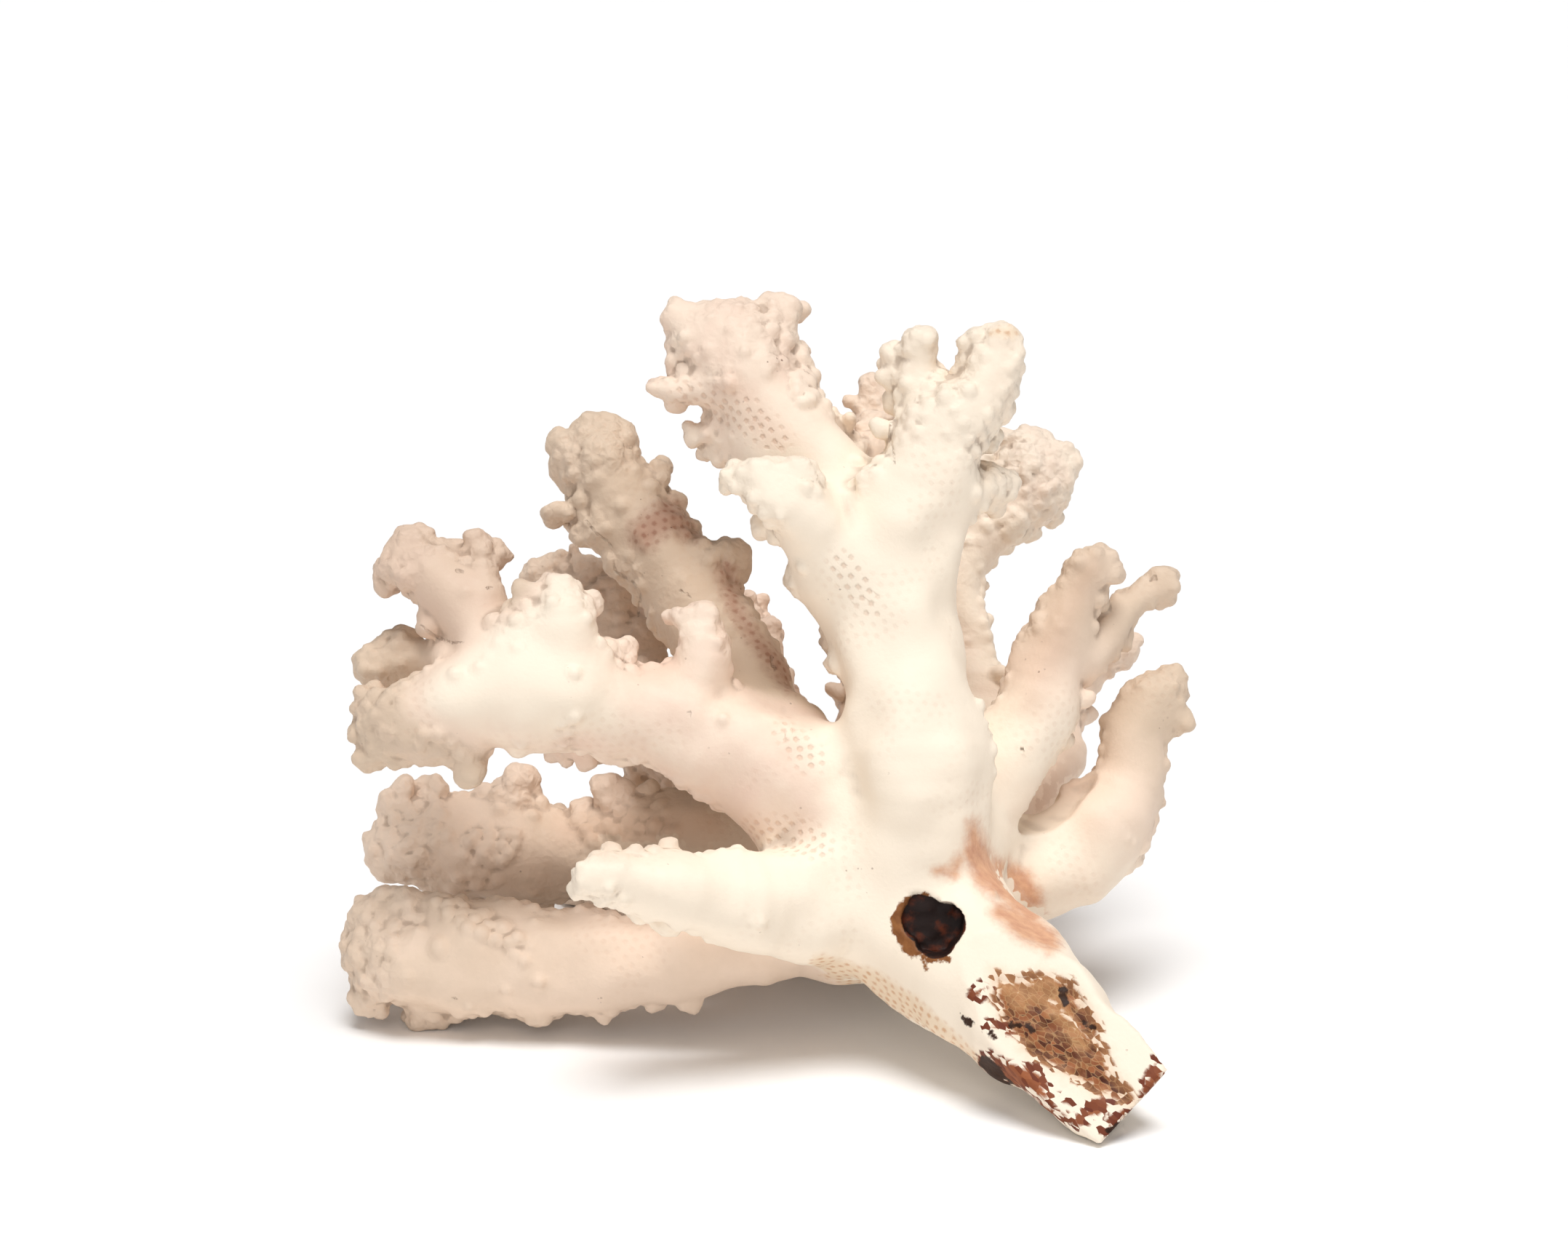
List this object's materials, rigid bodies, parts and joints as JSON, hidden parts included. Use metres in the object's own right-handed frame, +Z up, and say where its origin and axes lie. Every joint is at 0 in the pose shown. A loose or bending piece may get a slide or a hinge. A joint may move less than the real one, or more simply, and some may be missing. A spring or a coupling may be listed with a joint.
{
  "type": "branching coral skeleton",
  "caption": "Bleached skeleton of a branching coral, lying on its side: knobbly tapering branches that fork from a short sawn stem.",
  "frame": {"origin": "middle of the footprint on the surface that the coral lies on", "axes": "+Z up, +X to the right and +Y away from someone who looks at the sawn stem; the coral is as it lies, on its stem end and its lower branches"},
  "size_m": [0.1187, 0.1096, 0.0982],
  "materials": {
    "skeleton": "matte, finely pitted"
  },
  "bodies": {
    "root": {"trunk": "skeleton", "column": "skeleton", "crown_left": "skeleton", "left_arm": "skeleton", "left_hand": "skeleton", "left_tower": "skeleton", "front_finger": "skeleton", "lower_left_upper": "skeleton", "lower_left_lower": "skeleton", "right_arm": "skeleton", "right_lower_arm": "skeleton", "right_rear_arm": "skeleton", "right_rear_tower": "skeleton", "rear_spray": "skeleton", "rear_left_arm": "skeleton", "rear_left_foot": "skeleton", "rear_foot": "skeleton", "rear_tower": "skeleton"}
  },
  "joints": []
}
